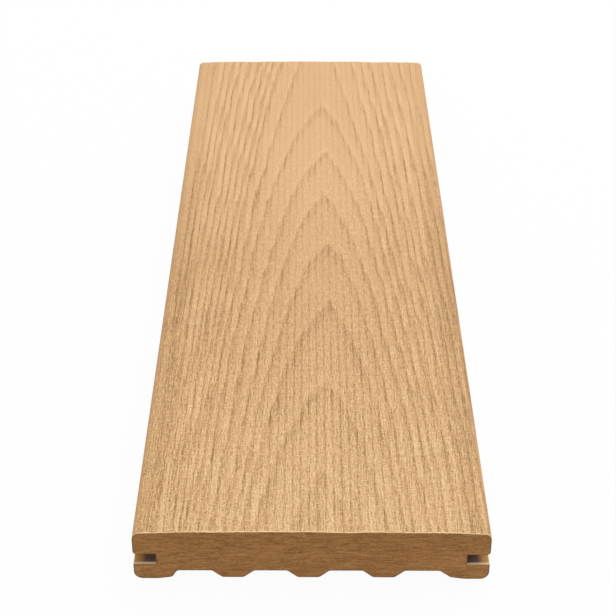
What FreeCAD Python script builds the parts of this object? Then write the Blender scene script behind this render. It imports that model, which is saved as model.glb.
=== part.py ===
"""Composite decking board: one extruded plank, stored lying on its feet.

The section carries a crowned top face with rounded edges, a clip groove in each side, and an underside
hollowed between two edge feet and a row of ribs. Both ends are plain saw cuts.

X runs across the board, Y along it and Z up. The origin is the middle of the plane that the feet stand on.
"""

import FreeCAD
import Part

import math
import os

# Overall sizes, in millimetres
board_length = 450.0
board_width = 140.0
board_height = 24.0  # from the feet to the top of the crown

# Top face
crown_radius = 3600.0  # the top is a shallow arc, so that water runs off
top_edge_radius = 3.0

# Clip grooves, one in each side
groove_height = 4.8
groove_depth = 8.9
groove_floor_height = 7.7  # from the feet to the floor of the groove
upper_lip_radius = 1.4  # lower corner of the lip above the groove
lower_lip_radius = 0.5  # upper corner of the lip below the groove

# Underside
hollow_height = 4.15  # from the feet to the roof of each hollow
underside_offset = -1.2  # the hollows and ribs lie this far off the middle, towards the left side
foot_flat_width = 9.8  # from the side of the board to the end of the flat that it stands on
foot_width = 15.1  # from the side of the board to the toe of the foot
foot_toe_height = 0.85  # the foot rises this far from its flat to its toe
foot_edge_radius = 4.0
foot_sole_radius = 10.0  # where the flat turns up towards the toe
foot_toe_radius = 1.5
foot_flank_angle = 47.0  # degrees from level, before the offset
rib_count = 3
rib_width = 8.4  # across the flat of the rib
rib_gap = 0.7  # the ribs stop this far above the feet
rib_flank_angle = 40.0  # degrees from level
outer_hollow_share = 1.05  # roof of the hollow beside a foot against the roof of one between two ribs
hollow_corner_radius = 1.8  # where a flank meets the roof or the rib

# A round takes at most this share of the shorter straight beside it
largest_round_share = 0.45

half_width = board_width / 2
half_length = board_length / 2


def point(x, z):
    """A point of the section, in the plane of the near end."""
    return FreeCAD.Vector(x, -half_length, z)


def arc_through(start, middle, end):
    return Part.Arc(start, middle, end).toShape()


def straight(start, end):
    return Part.LineSegment(start, end).toShape()


def flank_run(height, angle):
    """Level distance that a flank of this height covers."""
    return height / math.tan(math.radians(angle))


def foot_root():
    """Where the flank of a foot meets the roof of its hollow, across the board and before the offset."""
    return half_width - foot_width - flank_run(hollow_height - foot_toe_height, foot_flank_angle)


def rib_places():
    """Middle of each rib across the board, so that the hollows between the ribs are alike at their roofs."""
    rib_roof = rib_width + 2 * flank_run(hollow_height - rib_gap, rib_flank_angle)
    roof_width = (2 * foot_root() - rib_count * rib_roof) / (2 * outer_hollow_share + rib_count - 1)
    pitch = roof_width + rib_roof
    return [(i - (rib_count - 1) / 2) * pitch + underside_offset for i in range(rib_count)]


def groove_corners():
    """Corners of a groove on the right from its upper lip to its lower one, each with its round."""
    groove_wall = half_width - groove_depth
    groove_roof_height = groove_floor_height + groove_height
    return [
        (half_width, groove_roof_height, upper_lip_radius),
        (groove_wall, groove_roof_height, 0),
        (groove_wall, groove_floor_height, 0),
        (half_width, groove_floor_height, lower_lip_radius),
    ]


def foot_corners(offset):
    """Corners of a foot on the right from the side of the board to the first hollow, each with its round."""
    return [
        (half_width, 0, foot_edge_radius),
        (half_width - foot_flat_width, 0, foot_sole_radius),
        (half_width - foot_width, foot_toe_height, foot_toe_radius),
        (foot_root() + offset, hollow_height, hollow_corner_radius),
    ]


def rib_corners(middle):
    """Corners of one rib from right to left, each with its round."""
    toe = rib_width / 2
    root = toe + flank_run(hollow_height - rib_gap, rib_flank_angle)
    outline = [(root, hollow_height), (toe, rib_gap), (-toe, rib_gap), (-root, hollow_height)]
    return [(middle + x, z, hollow_corner_radius) for x, z in outline]


def mirrored(corners):
    """The same corners on the other side of the board, met in the opposite order."""
    return [(-x, z, radius) for x, z, radius in reversed(corners)]


def rounded_path(start, corners, end):
    """Edges from start to end by way of the corners, each corner turned by a tangent arc of its round."""
    places = [start] + [point(x, z) for x, z, radius in corners] + [end]
    edges = []
    reached = start
    for i, (x, z, radius) in enumerate(corners, start=1):
        before, here, after = places[i - 1], places[i], places[i + 1]
        if radius == 0:
            edges.append(straight(reached, here))
            reached = here
            continue
        back, ahead = before - here, after - here
        half_angle = back.getAngle(ahead) / 2
        shorter = min(back.Length, ahead.Length)
        setback = min(radius / math.tan(half_angle), largest_round_share * shorter)
        back.normalize()
        ahead.normalize()
        inward = (back + ahead).normalize()
        fitted_radius = setback * math.tan(half_angle)
        round_start = here + back * setback
        round_middle = here + inward * (setback / math.cos(half_angle) - fitted_radius)
        round_end = here + ahead * setback
        edges.append(straight(reached, round_start))
        edges.append(arc_through(round_start, round_middle, round_end))
        reached = round_end
    edges.append(straight(reached, end))
    return edges


def crowned_top():
    """Where the top edge rounds leave the sides, and the edges of the crown with its two rounds, left to right."""
    crown_centre = board_height - crown_radius
    lean = math.asin((half_width - top_edge_radius) / (crown_radius - top_edge_radius))
    round_x = half_width - top_edge_radius
    round_z = crown_centre + (crown_radius - top_edge_radius) * math.cos(lean)

    def on_round(angle):
        return round_x + top_edge_radius * math.sin(angle), round_z + top_edge_radius * math.cos(angle)

    crown_x, crown_z = on_round(lean)
    middle_x, middle_z = on_round((lean + math.pi / 2) / 2)
    left_side, right_side = point(-half_width, round_z), point(half_width, round_z)
    left_crown, right_crown = point(-crown_x, crown_z), point(crown_x, crown_z)
    edges = [
        arc_through(left_side, point(-middle_x, middle_z), left_crown),
        arc_through(left_crown, point(0, board_height), right_crown),
        arc_through(right_crown, point(middle_x, middle_z), right_side),
    ]
    return left_side, edges, right_side


def decking_board():
    """The whole board: its section, drawn at the near end and extruded along its length."""
    left_side, top_edges, right_side = crowned_top()
    right_edge = groove_corners() + foot_corners(underside_offset)
    left_edge = groove_corners() + foot_corners(-underside_offset)
    ribs = [corner for middle in reversed(rib_places()) for corner in rib_corners(middle)]
    lower_edges = rounded_path(right_side, right_edge + ribs + mirrored(left_edge), left_side)
    section = Part.Face(Part.Wire(top_edges + lower_edges))
    return section.extrude(FreeCAD.Vector(0, board_length, 0))


os.makedirs("parts", exist_ok=True)
board = decking_board()
print("decking_board", "valid" if board.isValid() else "not valid", f"{board.Volume / 1000:.1f} cm3", board.BoundBox)
board.exportStep("parts/decking_board.step")
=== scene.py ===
import bisect
import math

import bmesh
import bpy
from mathutils import Euler, Matrix, Vector, noise


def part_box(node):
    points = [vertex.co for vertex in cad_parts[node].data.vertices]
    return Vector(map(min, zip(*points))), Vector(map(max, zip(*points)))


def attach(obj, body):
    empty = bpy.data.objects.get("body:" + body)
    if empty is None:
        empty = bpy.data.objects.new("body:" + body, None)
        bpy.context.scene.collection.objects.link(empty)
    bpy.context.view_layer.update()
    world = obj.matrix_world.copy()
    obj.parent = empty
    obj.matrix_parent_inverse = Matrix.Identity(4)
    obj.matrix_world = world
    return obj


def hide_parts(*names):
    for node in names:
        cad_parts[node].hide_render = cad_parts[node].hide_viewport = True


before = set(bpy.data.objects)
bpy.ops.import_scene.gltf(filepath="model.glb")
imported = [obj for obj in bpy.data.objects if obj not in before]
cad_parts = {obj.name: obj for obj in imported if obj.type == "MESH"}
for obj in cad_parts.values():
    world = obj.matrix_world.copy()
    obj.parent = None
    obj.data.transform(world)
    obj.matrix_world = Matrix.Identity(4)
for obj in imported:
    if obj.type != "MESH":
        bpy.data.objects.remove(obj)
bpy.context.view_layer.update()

mm = 0.001  # the board is modelled in millimetres and scaled to metres at the end

_, boardHigh = (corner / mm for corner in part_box("decking_board"))
halfWidth = boardHigh.x
halfLength = boardHigh.y
boardHeight = boardHigh.z

# the section, corner by corner, as it leaves the extruder and the groove cutter
section = {
    "crownRadius": 3600.0,
    "edgeRound": 3.0,
    "grooveFloor": 7.7,
    "grooveHeight": 4.8,
    "grooveDepth": 8.9,
    "upperLipRound": 1.4,
    "lowerLipRound": 0.5,
    "hollowHeight": 4.15,
    "undersideOffset": -1.2,  # the hollows and ribs lie a little to the left
    "footFlat": 9.8,
    "footWidth": 15.1,
    "footToeHeight": 0.85,  # the sole rises from its flat to the toe
    "footEdgeRound": 3.46,
    "footSoleRound": 10.0,
    "footToeRound": 1.5,
    "footFlank": 47.0,  # degrees from level
    "ribs": 3,
    "ribWidth": 8.4,
    "ribGap": 0.7,  # the ribs stop short of the feet
    "ribFlank": 40.0,
    "outerHollowShare": 1.05,  # the roof beside a foot against the roof between two ribs
    "hollowRound": 1.8,
    "roundSteps": 6,
    "sawnEdge": 0.12,  # the saw leaves the ends a little broken
    "shadedRim": 0.30,  # and painted shade just inside
    "sharpAngle": 35.0,  # edges that turn further are shaded sharp
}


def crownRise(x):
    # how far the crowned top stands above a flat one
    radius = section["crownRadius"]
    return math.sqrt(radius ** 2 - x ** 2) - math.sqrt(radius ** 2 - halfWidth ** 2)


def flankRun(height, angle):
    return height / math.tan(math.radians(angle))


def footRoot():
    s = section
    return halfWidth - s["footWidth"] - flankRun(s["hollowHeight"] - s["footToeHeight"], s["footFlank"])


def edgeCorners(offset):
    # one side as if on the right, from the top edge down to the first hollow
    s = section
    grooveRoof = s["grooveFloor"] + s["grooveHeight"]
    grooveWall = halfWidth - s["grooveDepth"]
    return [
        (halfWidth, boardHeight - crownRise(0), s["edgeRound"]),
        (halfWidth, grooveRoof, s["upperLipRound"]),
        (grooveWall, grooveRoof, 0),
        (grooveWall, s["grooveFloor"], 0),
        (halfWidth, s["grooveFloor"], s["lowerLipRound"]),
        (halfWidth, 0, s["footEdgeRound"]),
        (halfWidth - s["footFlat"], 0, s["footSoleRound"]),
        (halfWidth - s["footWidth"], s["footToeHeight"], s["footToeRound"]),
        (footRoot() + offset, s["hollowHeight"], s["hollowRound"]),
    ]


def ribCorners():
    # the row of ribs from right to left, with like roofs between them
    s = section
    toe = s["ribWidth"] / 2
    root = toe + flankRun(s["hollowHeight"] - s["ribGap"], s["ribFlank"])
    roof = 2 * (footRoot() - s["ribs"] * root) / (2 * s["outerHollowShare"] + s["ribs"] - 1)
    outline = [(root, s["hollowHeight"]), (toe, s["ribGap"]), (-toe, s["ribGap"]), (-root, s["hollowHeight"])]
    corners = []
    for i in reversed(range(s["ribs"])):
        middle = (i - (s["ribs"] - 1) / 2) * (roof + 2 * root) + s["undersideOffset"]
        corners += [(middle + x, z, s["hollowRound"]) for x, z in outline]
    return corners


def sectionCorners():
    right = edgeCorners(section["undersideOffset"])
    left = edgeCorners(-section["undersideOffset"])
    return right + ribCorners() + [(-x, z, radius) for x, z, radius in reversed(left)]


def roundCorners(bm, corners, verts):
    # each corner is bevelled by the run that its round takes off the straights beside it
    bySetback = {}
    for i, (x, z, radius) in enumerate(corners):
        if radius == 0:
            continue
        here = Vector((x, z))
        before = Vector(corners[i - 1][:2]) - here
        after = Vector(corners[(i + 1) % len(corners)][:2]) - here
        setback = radius / math.tan(before.angle(after) / 2)
        bySetback.setdefault(round(setback, 3), []).append(verts[i])
    for setback, group in bySetback.items():
        bmesh.ops.bevel(bm, geom=group, offset=setback, offset_type="OFFSET", segments=section["roundSteps"],
                        profile=0.5, affect="VERTICES", material=-1)


# the embossed top: straight flutes along the board, with a slow swell under them
emboss = {
    "columnWidth": 0.32,  # of the mesh that carries it
    "rowLength": 2.1,
    "flutePitch": 3.32,
    "fluteStart": -1.0,
    "fluteDepth": 0.08,
    "fluteFall": 2.6,  # how fast a flute runs out beside its middle
    "plainFlute": 0.4,  # its depth between two rings, as a share of its depth in one
    "ringDepth": 0.12,
    "swellHeight": 0.4,
    "swellNoise": (11.0, 160.0, 5.5),  # width, length and seed
}


def boardPrism(bm):
    corners = sectionCorners()
    verts = [bm.verts.new((x, -halfLength, z)) for x, z, radius in corners]
    bm.faces.new(verts)
    roundCorners(bm, corners, verts)
    topEdge = max(bm.edges, key=lambda e: (e.verts[0].co.z + e.verts[1].co.z, e.calc_length()))
    columns = round(topEdge.calc_length() / emboss["columnWidth"])
    bmesh.ops.subdivide_edges(bm, edges=[topEdge], cuts=columns - 1)
    # the crown lifts the top and its edge rounds, and leaves the lips of the grooves
    lipTop = section["grooveFloor"] + section["grooveHeight"] + section["upperLipRound"]
    for v in bm.verts:
        if v.co.z > (lipTop + boardHeight) / 2:
            v.co.z += crownRise(v.co.x)
    run = bmesh.ops.extrude_face_region(bm, geom=bm.faces[:])
    farVerts = [g for g in run["geom"] if isinstance(g, bmesh.types.BMVert)]
    bmesh.ops.translate(bm, verts=farVerts, vec=(0, 2 * halfLength, 0))
    bmesh.ops.recalc_face_normals(bm, faces=bm.faces[:])


finishes = [
    "grainedTop",
    "plainSide",
    "sawnCore",
    "shadedRim",
    "grooveFloor",
    "grooveWall",
    "extrudedUnderside",
]

# what tells the faces of the prism apart: lengths in millimetres, and leans as parts of a normal
faceLimits = {
    "endCorners": 100,  # only the two ends have more corners than this
    "endLean": 0.99,
    "rimTop": 2.0,  # an end has no rim of painted shade this close to the top
    "topLean": 0.02,
    "topAbove": 3.0,  # the top is at least this far above the grooves
    "grooveMouth": 0.3,  # a groove starts this far in from the side
    "grooveSlack": 0.1,
    "floorLean": 0.5,
    "brokenLean": 0.05,
    "underLean": 0.1,
    "sideLean": 0.9,
}


def lengthwise(edge):
    return abs(edge.verts[0].co.y - edge.verts[1].co.y) > halfLength


def isEnd(face):
    return len(face.verts) > faceLimits["endCorners"]


def breakSawnEdges(bm):
    # the outlines of both ends, and a rim of painted shade just inside each
    outlines = [e for e in bm.edges if not lengthwise(e)]
    bmesh.ops.bevel(bm, geom=outlines, offset=section["sawnEdge"], offset_type="OFFSET", segments=1,
                    profile=0.5, affect="EDGES", material=-1, clamp_overlap=False)
    ends = [f for f in bm.faces if isEnd(f)]
    bmesh.ops.inset_individual(bm, faces=ends, thickness=section["shadedRim"], use_even_offset=True)


def finishOf(face):
    # which finish a face of the prism takes
    limits = faceLimits
    centre = face.calc_center_median()
    normal = face.normal
    floor = section["grooveFloor"]
    roof = floor + section["grooveHeight"]
    slack = limits["grooveSlack"]
    if abs(normal.y) > limits["endLean"]:
        isCore = isEnd(face) or centre.z > boardHeight - limits["rimTop"]
        return "sawnCore" if isCore else "shadedRim"
    if centre.z > roof + limits["topAbove"] and normal.z > limits["topLean"]:
        return "grainedTop"
    if abs(centre.x) < halfWidth - limits["grooveMouth"] and floor - slack < centre.z < roof + slack:
        return "grooveFloor" if normal.z > limits["floorLean"] else "grooveWall"
    if abs(normal.y) > limits["brokenLean"]:
        return "shadedRim"
    inHollow = centre.z < section["hollowHeight"] and abs(normal.x) < limits["sideLean"]
    if normal.z < -limits["underLean"] or inHollow:
        return "extrudedUnderside"
    return "plainSide"


def onTop(part):
    # whether an edge or a vertex touches the grained top
    return any(finishes[f.material_index] == "grainedTop" for f in part.link_faces)


def cutTopIntoRows(bm):
    edges = [e for e in bm.edges if lengthwise(e) and onTop(e)]
    rows = round(2 * halfLength / emboss["rowLength"])
    bmesh.ops.subdivide_edges(bm, edges=edges, cuts=rows - 1, use_grid_fill=True)


# the rings of a plain-sawn plank: arches that peak on the board, from the near end to the far one,
# then lines that run out of the far end
rings = {
    "peaks": [
        # across, along, bluntness, steepness of the left arm and of the right
        (6.0, -244.0, 1.0, 1.1, 1.5),
        (5.5, -186.0, 0.8, 0.96, 1.45),
        (7.0, -127.0, 6.0, 1.0, 1.35),
        (8.5, -57.0, 0.6, 0.88, 1.13),
        (9.0, -4.0, 4.0, 1.14, 1.55),
        (6.5, 51.0, 0.8, 1.12, 1.03),
        (8.5, 100.0, 0.5, 0.92, 1.1),
        (6.0, 160.0, 0.6, 1.0, 1.0),
    ],
    "openLeft": (1.9, 0.05, 0.0012),  # how far an arm has run at each distance from its peak
    "openRight": (2.3, 0.06, 0.0014),
    "axis": 6.0,
    "outerLeft": [
        # from the axis at the far end, and how far it leans there
        (13.5, 0.154),
        (25.5, 0.11),
        (30.0, 0.104),
        (34.5, 0.102),
        (39.5, 0.092),
        (45.5, 0.076),
        (51.0, 0.072),
        (55.5, 0.058),
        (60.5, 0.048),
        (66.5, 0.024),
    ],
    "outerRight": [
        (8.5, 0.134),
        (20.0, 0.094),
        (26.0, 0.09),
        (32.0, 0.072),
        (38.5, 0.061),
        (44.5, 0.054),
        (51.0, 0.044),
        (57.0, 0.03),
        (62.0, 0.02),
    ],
    "limitLeft": 72.0,  # the lines lean less as they near this distance from the axis
    "limitRight": 110.0,
    "limitShare": 0.99,  # and go no further towards it than this
    "lineWidth": 1.4,
    "lineLength": 9.0,  # of the strokes at a peak
    "gapShare": 0.4,  # a line is no wider than this share of the gap between two
    "darkFade": (0.2, 2.2),  # where the dark side of a line fades, in line widths
    "rimFade": (0.4, 1.5),  # and the light rim beyond it
    "rimOnset": 0.5,
    "onset": 0.3,  # how soon a line is at its darkest
    "farOnset": 0.25,  # and how much later towards the far end
    "farOnsetReach": (40.0, 200.0),
    "pull": 0.75,  # how far a line keeps to one flute before it steps to the next
    "stagger": 4.5,  # how unevenly the flutes take it up among the arches
    "staggerStep": 7.3,  # from one flute to the next in the noise
    "staggerNoise": (3.0, 45.0, 21.3),  # width, length and seed
    "wander": 1.0,
    "wanderNoises": [
        # share, then width, length and seed
        (1.0, 14.0, 50.0, 3.7),
        (0.6, 5.0, 22.0, 9.1),
    ],
    "archSpread": (12.0, 34.0),  # how far the arches reach from the axis
    "archShare": 0.84,  # they are fainter than the lines beside them
    "archBreak": 0.6,  # and more broken between the flutes
    "lineBreak": 0.35,
    "leftShare": 1.05,  # the lines to the left are pressed harder
    "leftReach": (15.0, 35.0),
    "edgeShare": 0.5,  # how much of the lines is left at the far end of each edge
    "edgeReach": (56.0, 62.0),
    "edgeFade": (20.0, 170.0),
}


def archLine(x, peak):
    # how far along the board a ring with this peak lies, at this place across it
    px, py, blunt, steepLeft, steepRight = peak
    a, b, c = rings["openRight"] if x > px else rings["openLeft"]
    w = math.sqrt((x - px) ** 2 + blunt ** 2) - blunt
    return py - (steepRight if x > px else steepLeft) * (a * w + b * w ** 2 + c * w ** 3)


def outerLine(x, start, lean, limit):
    # the same for a ring that runs out of the far end
    run = abs(x - rings["axis"]) - start
    room = limit - start
    return halfLength + room / lean * math.log(1 - min(run / room, rings["limitShare"]))


def ringLines(x):
    # all the rings at one place across the board, from the near end to beyond the far one
    side = "Right" if x > rings["axis"] else "Left"
    arches = [archLine(x, peak) for peak in rings["peaks"]]
    outer = [outerLine(x, start, lean, rings["limit" + side]) for start, lean in rings["outer" + side]]
    return sorted(arches + outer)


def softNoise(x, y, width, length, seed):
    return noise.noise(Vector((x / width, y / length, seed)))


def smooth(value, low, high):
    share = min(max((value - low) / (high - low), 0.0), 1.0)
    return share * share * (3 - 2 * share)


def fluteOf(x):
    # the flute that a place belongs to, and how far it is from the middle of it, in flutes
    place = (x - emboss["fluteStart"]) / emboss["flutePitch"]
    return round(place), place - round(place)


def localLean(lines, slopes, y):
    # how far along the board the nearest line moves for each millimetre across
    return slopes[min(bisect.bisect_left(lines, y), len(lines) - 1)]


def wanderOf(x, y):
    waves = rings["wanderNoises"]
    return rings["wander"] * sum(share * softNoise(x, y, *wave) for share, *wave in waves)


def ringMarks(y, lines, slopes):
    # how dark a place is inside the nearest ring line, and how light just outside one
    i = min(max(bisect.bisect_left(lines, y), 1), len(lines) - 1)
    gap = lines[i] - lines[i - 1]
    inside, outside = lines[i] - y, y - lines[i - 1]
    marks = []
    for j, distance in ((i, inside), (i - 1, outside)):
        width = math.hypot(rings["lineWidth"] * slopes[j], rings["lineLength"])
        marks.append(distance / min(width, rings["gapShare"] * gap))
    onset = rings["onset"] + rings["farOnset"] * smooth(y, *rings["farOnsetReach"])
    dark = smooth(marks[0], 0.0, onset) * (1 - smooth(marks[0], *rings["darkFade"]))
    rim = 1 - smooth(marks[1], *rings["rimFade"])
    return dark, rim * smooth(marks[0], 0.0, rings["rimOnset"])


def lineStrength(x, pressed, arched):
    # how much of the ring lines shows at one place across the board
    strength = 1 - (1 - rings["archShare"]) * arched
    broken = rings["lineBreak"] + (rings["archBreak"] - rings["lineBreak"]) * arched
    strength *= 1 - broken * (1 - pressed)
    return strength * (1 + (rings["leftShare"] - 1) * smooth(-x, *rings["leftReach"]))


def embossColumn(x, verts, darkLayer, rimLayer):
    # the vertices along one line of the mesh
    flute, beside = fluteOf(x)
    pressed = max(0.0, 1 - emboss["fluteFall"] * abs(beside))
    arched = 1 - smooth(abs(x - rings["axis"]), *rings["archSpread"])
    strength = lineStrength(x, pressed, arched)
    stepped = x + rings["pull"] * emboss["flutePitch"] * math.sin(math.tau * beside) / math.tau
    lines = ringLines(stepped)
    # rise of each line over one millimetre across
    slopes = [b - a for a, b in zip(ringLines(stepped - 0.5), ringLines(stepped + 0.5))]
    edgeLoss = (1 - rings["edgeShare"]) * smooth(abs(x), *rings["edgeReach"])
    overRound = min(1.0, max(0.0, halfWidth - abs(x)) / section["edgeRound"])
    plain = emboss["plainFlute"]
    for v in verts:
        y = v.co.y
        late = softNoise(rings["staggerStep"] * flute, y, *rings["staggerNoise"])
        stagger = rings["stagger"] * arched * late
        place = y + stagger + wanderOf(x, y) * localLean(lines, slopes, y)
        dark, rim = ringMarks(place, lines, slopes)
        shown = strength * (1 - edgeLoss * smooth(y, *rings["edgeFade"]))
        v[darkLayer] = dark * shown
        v[rimLayer] = rim * shown
        swell = emboss["swellHeight"] * softNoise(x, y, *emboss["swellNoise"])
        depth = emboss["fluteDepth"] * pressed * (plain + (1 - plain) * dark) + emboss["ringDepth"] * dark
        v.co.z = min(v.co.z + overRound * (swell - depth), boardHeight)


def embossTop(bm):
    darkLayer = bm.verts.layers.float.new("ringDark")
    rimLayer = bm.verts.layers.float.new("ringRim")
    columns = {}
    for v in bm.verts:
        if onTop(v):
            columns.setdefault(round(v.co.x, 3), []).append(v)
    for x, verts in columns.items():
        embossColumn(x, verts, darkLayer, rimLayer)


def shadeBoard(bm):
    for f in bm.faces:
        f.smooth = len(f.verts) < 5
    for e in bm.edges:
        e.smooth = e.calc_face_angle(0) < math.radians(section["sharpAngle"])


def makeBoard():
    bm = bmesh.new()
    boardPrism(bm)
    breakSawnEdges(bm)
    for f in bm.faces:
        f.material_index = finishes.index(finishOf(f))
    cutTopIntoRows(bm)
    embossTop(bm)
    shadeBoard(bm)
    bmesh.ops.scale(bm, vec=(mm, mm, mm), verts=bm.verts[:])
    mesh = bpy.data.meshes.new("deckingBoard")
    bm.to_mesh(mesh)
    bm.free()
    board = bpy.data.objects.new("deckingBoard", mesh)
    bpy.context.scene.collection.objects.link(board)
    return board


# materials

specular = 0.25  # of the composite
noiseRoughness = 0.6


def addNode(tree, kind, inputs=None, **settings):
    node = tree.nodes.new("ShaderNode" + kind)
    for name, value in settings.items():
        setattr(node, name, value)
    for name, value in (inputs or {}).items():
        if isinstance(value, bpy.types.NodeSocket):
            tree.links.new(value, node.inputs[name])
        else:
            node.inputs[name].default_value = value
    return node


def doMath(tree, operation, a, b=0.0):
    return addNode(tree, "Math", {0: a, 1: b}, operation=operation).outputs[0]


def addTimes(tree, start, value, times):
    inputs = {0: value, 1: times, 2: start}
    return addNode(tree, "Math", inputs, operation="MULTIPLY_ADD").outputs[0]


def doVectorMath(tree, operation, a, b):
    return addNode(tree, "VectorMath", {0: a, 1: b}, operation=operation).outputs[0]


def mapRange(tree, value, low, high, toLow=0.0, toHigh=1.0):
    inputs = {"Value": value, "From Min": low, "From Max": high, "To Min": toLow, "To Max": toHigh}
    return addNode(tree, "MapRange", inputs, interpolation_type="SMOOTHSTEP").outputs[0]


def setRamp(node, stops):
    ramp = node.color_ramp
    while len(ramp.elements) > 1:
        ramp.elements.remove(ramp.elements[-1])
    for i, (position, colour) in enumerate(stops):
        element = ramp.elements[0] if i == 0 else ramp.elements.new(position)
        element.position = position
        element.color = (*colour, 1.0)


def colourOf(tree, value, stops):
    ramp = addNode(tree, "ValToRGB", {"Fac": value})
    setRamp(ramp, stops)
    return ramp.outputs["Color"]


def mixColours(tree, share, first, second):
    node = addNode(tree, "Mix", data_type="RGBA")
    for name, value in (("Factor_Float", share), ("A_Color", first), ("B_Color", second)):
        socket = next(s for s in node.inputs if s.identifier == name)
        if isinstance(value, bpy.types.NodeSocket):
            tree.links.new(value, socket)
        else:
            socket.default_value = (*value, 1.0)
    return next(s for s in node.outputs if s.identifier == "Result_Color")


def newGroup(name, inputs, outputs):
    tree = bpy.data.node_groups.new(name, "ShaderNodeTree")
    for socket, kind in inputs:
        tree.interface.new_socket(socket, in_out="INPUT", socket_type="NodeSocket" + kind)
    for socket, kind in outputs:
        tree.interface.new_socket(socket, in_out="OUTPUT", socket_type="NodeSocket" + kind)
    return tree, tree.nodes.new("NodeGroupInput").outputs, tree.nodes.new("NodeGroupOutput").inputs


def boardPlace(tree):
    # where a point lies on the board, in millimetres
    place = addNode(tree, "TexCoord").outputs["Object"]
    return doVectorMath(tree, "DIVIDE", place, (mm, mm, mm))


def placeParts(tree):
    # the same as three values: across, along and up
    return addNode(tree, "SeparateXYZ", {0: boardPlace(tree)}).outputs


def stretchedNoiseGroup():
    # noise of a given size each way: fibres, streaks and specks
    tree, given, result = newGroup(
        "stretchedNoise",
        [("Size", "Vector"), ("Shift", "Vector"), ("Detail", "Float")],
        [("Value", "Float")],
    )
    scaled = doVectorMath(tree, "DIVIDE", boardPlace(tree), given["Size"])
    moved = doVectorMath(tree, "ADD", scaled, given["Shift"])
    inputs = {"Vector": moved, "Scale": 1.0, "Detail": given["Detail"], "Roughness": noiseRoughness}
    value = addNode(tree, "TexNoise", inputs).outputs["Fac"]
    tree.links.new(value, result["Value"])
    return tree


stretchedNoise = stretchedNoiseGroup()


def streaks(tree, size, shift, detail=1.0, aside=0.0):
    # aside moves the noise across the board, in its own widths
    group = addNode(tree, "Group", node_tree=stretchedNoise)
    group.inputs["Size"].default_value = size
    group.inputs["Shift"].default_value = (shift + aside, shift, shift)
    group.inputs["Detail"].default_value = detail
    return group.outputs["Value"]


# a painted highlight: a light frayed strip along the cut, where the top's edge and the front of each groove
# floor catch the light
paintedEdgeHighlight = {
    "topHighlightColour": (0.90, 0.64, 0.35),
    "topStrip": (0.5, 0.7),  # width in millimetres, and how far it frays in widths
    "grooveHighlightColour": (0.95, 0.70, 0.41),
    "grooveStrip": (1.0, 0.1),
    "stripFade": (0.8, 1.3),  # in widths from the cut
    "fray": ((1.4, 9.0, 9.0), 41.0, 2.0),  # size each way, shift and detail
    "fraySpread": (0.3, 0.7),
}


def paintedHighlightGroup():
    tree, given, result = newGroup("paintedHighlightStrip", [("Width", "Float"), ("Fray", "Float")], [("Mask", "Float")])
    along = placeParts(tree)["Y"]
    fromEnd = doMath(tree, "SUBTRACT", halfLength, doMath(tree, "ABSOLUTE", along))
    frayed = addTimes(tree, fromEnd, given["Fray"], given["Width"])
    share = doMath(tree, "DIVIDE", frayed, given["Width"])
    tree.links.new(mapRange(tree, share, *paintedEdgeHighlight["stripFade"], 1.0, 0.0), result["Mask"])
    return tree


paintedHighlightStrip = paintedHighlightGroup()


def paintedHighlightMask(tree, width, frayed):
    value = streaks(tree, *paintedEdgeHighlight["fray"])
    fray = mapRange(tree, value, *paintedEdgeHighlight["fraySpread"], -frayed, frayed)
    group = addNode(tree, "Group", node_tree=paintedHighlightStrip)
    group.inputs["Width"].default_value = width
    tree.links.new(fray, group.inputs["Fray"])
    return group.outputs["Mask"]


def weighted(tree, parts, start=0.0):
    # start plus each part's distance from its middle, times its weight
    total = start
    for value, middle, weight in parts:
        total = addTimes(tree, total, doMath(tree, "SUBTRACT", value, middle), weight)
    return total


def newMaterial(name, roughness):
    material = bpy.data.materials.new(name)
    material.use_nodes = True
    tree = material.node_tree
    shader = tree.nodes["Principled BSDF"]
    shader.inputs["Roughness"].default_value = roughness
    shader.inputs["Specular IOR Level"].default_value = specular
    return material, tree, shader


def addBump(tree, shader, height, depth):
    bump = addNode(tree, "Bump", {"Strength": 1.0, "Distance": depth, "Height": height})
    tree.links.new(bump.outputs["Normal"], shader.inputs["Normal"])


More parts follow.
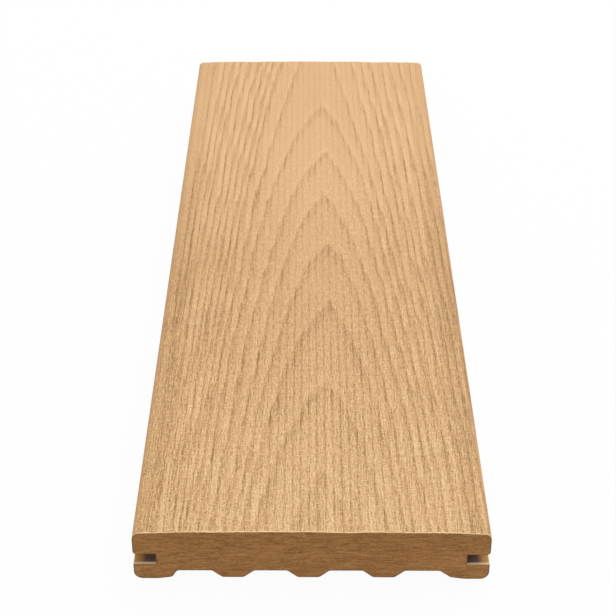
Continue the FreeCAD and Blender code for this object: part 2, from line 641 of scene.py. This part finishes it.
# the walking face; places along the board run from its middle, in millimetres
topFinish = {
    "roughness": 0.62,
    "bump": 0.00012,
    "fineBump": 0.7,
    "ramp": [
        (0.00, (0.330, 0.165, 0.053)),
        (0.25, (0.480, 0.265, 0.105)),
        (0.50, (0.645, 0.382, 0.174)),
        (0.75, (0.795, 0.500, 0.247)),
        (1.00, (0.930, 0.625, 0.330)),
    ],
    "middle": 0.552,
    # each noise: its size across, along and up, its shift and its detail
    "fibre": ((0.45, 30.0, 30.0), 0.0, 2.0),
    "fine": ((0.48, 4.8, 4.8), 7.0, 0.5),
    "speck": ((0.36, 0.6, 20.0), 13.3, 0.0),
    "cross": ((3.5, 0.6, 20.0), 17.3, 1.0),
    "tone": ((14.0, 120.0, 120.0), 29.0, 1.0),
    "band": ((3.2, 150.0, 150.0), 61.0, 0.0),
    "mottle": ((1.3, 3.0, 3.0), 71.0, 0.0),
    "fray": ((0.7, 7.0, 7.0), 3.0, 1.0),
    "patch": ((1.5, 32.0, 32.0), 51.0, 1.0),
    "fineAside": 1.25,  # each fine fibre is set against its neighbour, so that they don't clump; this also paints a lit side and a shaded side on each fibre, as on an embossed one
    "fibreWeight": 0.65,
    "fineWeight": 0.64,
    "speckWeight": 1.02,
    "crossWeight": 0.48,
    "farShare": 0.28,  # how much of this fine grain is left at the far end
    "fadeReach": (-0.9, 0.35),  # in half lengths
    "roundShare": 0.1,  # and over the edge rounds
    "roundReach": (0.7, 0.15),  # from the side, in rounds
    # rings and flutes: each is taken about its mean, so that its weight doesn't shift the whole board
    "ringWeight": 0.27,
    "ringMean": 0.20,
    "rimWeight": 0.09,
    "rimMean": 0.20,
    "fraySpread": (0.25, 0.75, 0.4, 1.6),  # from this much noise, to this share of a line
    "patchSpread": (0.3, 0.7, 0.55, 1.45),
    "fluteWeight": 0.08,
    "fluteMean": 0.27,
    "fluteFade": (0.03, 0.24),  # from the middle of a flute, in flutes
    "axisFluteWeight": 0.15,  # flutes are darker among the arches, towards the near end
    "axisFluteMean": 0.10,
    "axisFluteFade": (-160.0, 0.0),
    # slow changes of tone, with painted light and shade along the board and at its edges
    "toneWeight": 0.09,
    "bandWeight": 0.3,  # long bands, seen at the near end
    "bandEnd": -110.0,
    "mottleWeight": 0.28,  # coarser grain, seen half way along
    "mottleOnset": (-180.0, -80.0),
    "mottleFade": (40.0, 160.0),
    "middleShadeWeight": 0.075,  # painted shade: a darker stretch before the middle of the board
    "middleShadePlace": -60.0,
    "darkFade": (20.0, 150.0),
    "farShadeWeight": 0.03,  # painted shade: the far end is darker too
    "farStart": 120.0,
    "nearLightWeight": 0.025,  # and painted light: the near end is lighter
    "nearEnd": -90.0,
    "edgeShadeWeight": 0.12,  # painted shade: the edge rounds are darker, half as much at the far end
    "edgeReach": (57.0, 62.0),
    "edgeFade": (0.0, 180.0),
    "edgeShadeFarShare": 0.5,
}


def ringMasks(tree):
    # the dark side of each ring line and the light rim beyond it, as the mesh carries them, with frayed edges
    fray = mapRange(tree, streaks(tree, *topFinish["fray"]), *topFinish["fraySpread"])
    patch = mapRange(tree, streaks(tree, *topFinish["patch"]), *topFinish["patchSpread"])
    worn = doMath(tree, "MULTIPLY", fray, patch)
    masks = []
    for name in ("ringDark", "ringRim"):
        mark = addNode(tree, "Attribute", attribute_name=name, attribute_type="GEOMETRY").outputs["Fac"]
        masks.append(doMath(tree, "MULTIPLY", mark, worn))
    return masks


def fluteMask(tree, across):
    # 1 along the middle of each flute
    fromStart = doMath(tree, "SUBTRACT", across, emboss["fluteStart"])
    place = doMath(tree, "DIVIDE", fromStart, emboss["flutePitch"])
    inFlute = doMath(tree, "FRACT", doMath(tree, "ADD", place, 0.5))
    beside = doMath(tree, "ABSOLUTE", doMath(tree, "SUBTRACT", inFlute, 0.5))
    return mapRange(tree, beside, *topFinish["fluteFade"], 1.0, 0.0)


def centredNoises(tree):
    # each noise about 0
    noises = {}
    for name in ("fibre", "speck", "cross", "tone", "band", "mottle"):
        noises[name] = doMath(tree, "SUBTRACT", streaks(tree, *topFinish[name]), 0.5)
    beside = streaks(tree, *topFinish["fine"], topFinish["fineAside"])
    # fibre grain with painted light and shade: a lit side and a shaded side
    noises["fine"] = doMath(tree, "SUBTRACT", streaks(tree, *topFinish["fine"]), beside)
    return noises


def fineGrain(tree, noises, along, fromCentre):
    # fibres and specks, fainter towards the far end and over the edge rounds; the fine fibres are grain with
    # painted light and shade on their two sides
    finish = topFinish
    names = ("fibre", "fine", "speck", "cross")
    grain = weighted(tree, [(noises[name], 0.0, finish[name + "Weight"]) for name in names])
    fadeStart, fadeEnd = (share * halfLength for share in finish["fadeReach"])
    fade = mapRange(tree, along, fadeStart, fadeEnd, 1.0, finish["farShare"])
    roundStart, roundEnd = (halfWidth - share * section["edgeRound"] for share in finish["roundReach"])
    overRound = mapRange(tree, fromCentre, roundStart, roundEnd, 1.0, finish["roundShare"])
    return doMath(tree, "MULTIPLY", grain, doMath(tree, "MULTIPLY", fade, overRound))


def pressedParts(tree, across, along):
    # rings and flutes
    finish = topFinish
    ring, rim = ringMasks(tree)
    flute = fluteMask(tree, across)
    fromAxis = doMath(tree, "ABSOLUTE", doMath(tree, "SUBTRACT", across, rings["axis"]))
    byAxis = mapRange(tree, fromAxis, *rings["archSpread"], 1.0, 0.0)
    nearHalf = mapRange(tree, along, *finish["axisFluteFade"], 1.0, 0.0)
    axisFlute = doMath(tree, "MULTIPLY", flute, doMath(tree, "MULTIPLY", byAxis, nearHalf))
    return [
        (ring, finish["ringMean"], -finish["ringWeight"]),
        (rim, finish["rimMean"], finish["rimWeight"]),
        (flute, finish["fluteMean"], -finish["fluteWeight"]),
        (axisFlute, finish["axisFluteMean"], -finish["axisFluteWeight"]),
    ]


def slowParts(tree, noises, along, fromCentre):
    # changes of tone along the board, with painted light and shade along it and towards its edges
    finish = topFinish
    fromMiddleShade = doMath(tree, "ABSOLUTE", doMath(tree, "SUBTRACT", along, finish["middleShadePlace"]))
    dark = mapRange(tree, fromMiddleShade, *finish["darkFade"], 1.0, 0.0)
    edge = mapRange(tree, fromCentre, *finish["edgeReach"])
    edgeShare = mapRange(tree, along, *finish["edgeFade"], 1.0, finish["edgeShadeFarShare"])
    bandShare = mapRange(tree, along, -halfLength, finish["bandEnd"], 1.0, 0.0)
    mottleStart = mapRange(tree, along, *finish["mottleOnset"])
    mottleEnd = mapRange(tree, along, *finish["mottleFade"], 1.0, 0.0)
    mottleShare = doMath(tree, "MULTIPLY", mottleStart, mottleEnd)
    return [
        (dark, 0.0, -finish["middleShadeWeight"]),
        # painted shade over the edge rounds
        (doMath(tree, "MULTIPLY", edge, edgeShare), 0.0, -finish["edgeShadeWeight"]),
        (mapRange(tree, along, finish["farStart"], halfLength), 0.0, -finish["farShadeWeight"]),
        (mapRange(tree, along, -halfLength, finish["nearEnd"], 1.0, 0.0), 0.0, finish["nearLightWeight"]),
        (noises["tone"], 0.0, finish["toneWeight"]),
        (doMath(tree, "MULTIPLY", noises["band"], bandShare), 0.0, finish["bandWeight"]),
        (doMath(tree, "MULTIPLY", noises["mottle"], mottleShare), 0.0, finish["mottleWeight"]),
    ]


def grainedTopMaterial():
    finish = topFinish
    material, tree, shader = newMaterial("grainedTop", finish["roughness"])
    across, along, _ = placeParts(tree)
    fromCentre = doMath(tree, "ABSOLUTE", across)
    noises = centredNoises(tree)
    parts = pressedParts(tree, across, along) + slowParts(tree, noises, along, fromCentre)
    parts.append((fineGrain(tree, noises, along, fromCentre), 0.0, 1.0))
    plain = colourOf(tree, weighted(tree, parts, finish["middle"]), finish["ramp"])
    # painted highlight: a light strip along the top's cut edges
    highlightShare = paintedHighlightMask(tree, *paintedEdgeHighlight["topStrip"])
    colour = mixColours(tree, highlightShare, plain, paintedEdgeHighlight["topHighlightColour"])
    tree.links.new(colour, shader.inputs["Base Color"])
    height = weighted(tree, [
        (noises["fibre"], 0.0, 1.0),
        (noises["fine"], 0.0, finish["fineBump"]),
        (noises["speck"], 0.0, 1.0),
    ])
    addBump(tree, shader, height, finish["bump"])
    return material


# the surfaces with no rings; each noise has its size each way and its weight
sideFinish = {
    "ramp": [(0.0, (0.47, 0.25, 0.10)), (0.5, (0.62, 0.36, 0.165)), (1.0, (0.75, 0.48, 0.25))],
    "noises": [((1.2, 70.0, 1.2), 0.6), ((0.5, 6.0, 0.5), 0.5)],
    "roughness": 0.6,
    "bump": 0.00008,
    "tone": 0.0,  # painted light: how much lighter it gets towards the feet, and darker towards the top, as from the floor's bounce
}
undersideFinish = {
    "ramp": [(0.0, (0.36, 0.18, 0.062)), (0.5, (0.48, 0.25, 0.097)), (1.0, (0.60, 0.34, 0.145))],
    "noises": [((0.9, 180.0, 0.9), 0.5), ((4.0, 60.0, 4.0), 0.4)],
    "roughness": 0.55,
    "bump": 0.00008,
    "tone": 0.0,
}
coreFinish = {
    "ramp": [(0.0, (0.215, 0.085, 0.020)), (0.5, (0.386, 0.178, 0.052)), (1.0, (0.555, 0.282, 0.104))],
    "noises": [((5.0, 2.0, 0.7), 1.1), ((1.2, 0.8, 0.45), 1.0)],
    "roughness": 0.75,
    "bump": 0.00010,
    # painted light from the floor's bounce: the sawn end lighter at the feet, darker at the top
    "tone": 0.11,
}
# painted shade: a dark line just inside each end's outline, below the top
shadedRimFinish = {
    "ramp": [(0.0, (0.13, 0.075, 0.035)), (0.5, (0.19, 0.11, 0.052)), (1.0, (0.26, 0.15, 0.072))],
    "noises": coreFinish["noises"],
    "roughness": 0.75,
    "bump": 0.00010,
    "tone": 0.0,
}
noiseShift = 11.0  # keeps the noises of one surface apart


def plainMaterial(name, finish):
    material, tree, shader = newMaterial(name, finish["roughness"])
    up = placeParts(tree)["Z"]
    parts = []
    for i, (size, weight) in enumerate(finish["noises"]):
        parts.append((streaks(tree, size, noiseShift * i), 0.5, weight))
    # painted light from the floor's bounce: lighter towards the feet, darker towards the top
    tone = mapRange(tree, up, 0.0, boardHeight, finish["tone"], -finish["tone"])
    parts.append((tone, 0.0, 1.0))
    value = weighted(tree, parts, 0.5)
    tree.links.new(colourOf(tree, value, finish["ramp"]), shader.inputs["Base Color"])
    addBump(tree, shader, value, finish["bump"])
    return material


# painted light and shade in each groove: lighter at its mouth, darker deep inside
grooveFinish = {
    "litMouthColour": (0.62, 0.32, 0.105),
    "deepShadeColour": (0.20, 0.12, 0.105),
    "shadeReach": (0.6, 0.2),  # from the mouth, in depths
    "roughness": 0.8,
}


def grooveMaterial(name, hasHighlight):
    finish = grooveFinish
    material, tree, shader = newMaterial(name, finish["roughness"])
    fromCentre = doMath(tree, "ABSOLUTE", placeParts(tree)["X"])
    deep, shallow = (halfWidth - share * section["grooveDepth"] for share in finish["shadeReach"])
    # painted shade deep in the groove, painted light at its mouth
    grooveShade = mapRange(tree, fromCentre, deep, shallow, 1.0, 0.0)
    colour = mixColours(tree, grooveShade, finish["litMouthColour"], finish["deepShadeColour"])
    if hasHighlight:
        # painted highlight: a light strip at the front of the groove floor
        highlightShare = paintedHighlightMask(tree, *paintedEdgeHighlight["grooveStrip"])
        colour = mixColours(tree, highlightShare, colour, paintedEdgeHighlight["grooveHighlightColour"])
    tree.links.new(colour, shader.inputs["Base Color"])
    return material


def boardMaterials():
    return {
        "grainedTop": grainedTopMaterial(),
        "plainSide": plainMaterial("plainSide", sideFinish),
        "sawnCore": plainMaterial("sawnCore", coreFinish),
        "shadedRim": plainMaterial("shadedRim", shadedRimFinish),
        "grooveFloor": grooveMaterial("grooveFloor", True),
        "grooveWall": grooveMaterial("grooveWall", False),
        "extrudedUnderside": plainMaterial("extrudedUnderside", undersideFinish),
    }


# floor, light and camera

stage = {
    "floorSize": 6.0,
    "floorColour": (0.9, 0.9, 0.9, 1.0),
    "floorRoughness": 0.9,
    "whiteShare": 0.95,  # how far the floor shows as plain white to the camera; the rest carries the shadow
    "skyLight": 0.42,
    "keyPower": 40.0,
    "keySize": 2.4,
    "keyPlace": (0.5, 1.1, 1.7),
    "keyAim": (0, 0, 0),
    "fillPower": 6.5,
    "fillSize": 1.6,
    "fillPlace": (-0.6, -1.6, 1.2),
    "fillAim": (0, -0.2, 0.01),
}

# the photograph's camera
viewpoint = {
    "place": (-0.00249, -0.68624, 0.42169),
    "lens": 91.023,
    "sensor": 36.0,
    "pitch": 57.423,
    "turn": -0.092,
    "roll": 0.196,
    "nearest": 0.01,
}

white = (1, 1, 1, 1)


def backgroundRay(tree):
    # camera, glossy and transmission rays all meet the plain white
    path = addNode(tree, "LightPath").outputs
    seen = doMath(tree, "MAXIMUM", path["Is Camera Ray"], path["Is Glossy Ray"])
    return doMath(tree, "MAXIMUM", seen, path["Is Transmission Ray"])


def makeFloor():
    bm = bmesh.new()
    bmesh.ops.create_grid(bm, x_segments=1, y_segments=1, size=stage["floorSize"] / 2)
    mesh = bpy.data.meshes.new("floor")
    bm.to_mesh(mesh)
    bm.free()
    floor = bpy.data.objects.new("floor", mesh)
    bpy.context.scene.collection.objects.link(floor)
    material, tree, shader = newMaterial("paleFloor", stage["floorRoughness"])
    shader.inputs["Base Color"].default_value = stage["floorColour"]
    shader.inputs["Specular IOR Level"].default_value = 0.0
    glow = addNode(tree, "Emission", {"Color": white, "Strength": 1.0})
    share = doMath(tree, "MULTIPLY", backgroundRay(tree), stage["whiteShare"])
    mix = addNode(tree, "MixShader", {0: share, 1: shader.outputs[0], 2: glow.outputs[0]})
    tree.links.new(mix.outputs[0], tree.nodes["Material Output"].inputs["Surface"])
    mesh.materials.append(material)


def makeSky():
    world = bpy.data.worlds.new("studio")
    bpy.context.scene.world = world
    world.use_nodes = True
    tree = world.node_tree
    light = tree.nodes["Background"]
    light.inputs["Color"].default_value = white
    light.inputs["Strength"].default_value = stage["skyLight"]
    glow = addNode(tree, "Background", {"Color": white, "Strength": 1.0})
    mix = addNode(tree, "MixShader", {0: backgroundRay(tree), 1: light.outputs[0], 2: glow.outputs[0]})
    tree.links.new(mix.outputs[0], tree.nodes["World Output"].inputs["Surface"])


def addSoftbox(name):
    place = Vector(stage[name + "Place"])
    aim = Vector(stage[name + "Aim"])
    lamp = bpy.data.lights.new(name, "AREA")
    lamp.shape = "SQUARE"
    lamp.size = stage[name + "Size"]
    lamp.energy = stage[name + "Power"]
    box = bpy.data.objects.new(name, lamp)
    box.location = place
    box.rotation_euler = (aim - place).to_track_quat("-Z", "Y").to_euler()
    bpy.context.scene.collection.objects.link(box)


def addCamera():
    camera = bpy.data.cameras.new("camera")
    camera.lens = viewpoint["lens"]
    camera.sensor_width = viewpoint["sensor"]
    camera.clip_start = viewpoint["nearest"]
    holder = bpy.data.objects.new("camera", camera)
    turn = Euler((math.radians(viewpoint["pitch"]), 0, math.radians(viewpoint["turn"]))).to_matrix()
    roll = Matrix.Rotation(math.radians(viewpoint["roll"]), 3, "Z")
    holder.matrix_world = Matrix.Translation(viewpoint["place"]) @ (turn @ roll).to_4x4()
    bpy.context.scene.collection.objects.link(holder)
    bpy.context.scene.camera = holder


bpy.context.scene.view_settings.view_transform = "Standard"

board = makeBoard()
looks = boardMaterials()
for finish in finishes:
    board.data.materials.append(looks[finish])
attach(board, "root")
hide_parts("decking_board")
print("board:", len(board.data.polygons), "faces")

makeFloor()
makeSky()
addSoftbox("key")
addSoftbox("fill")
addCamera()
print("stage: floor, sky, two softboxes and the camera")
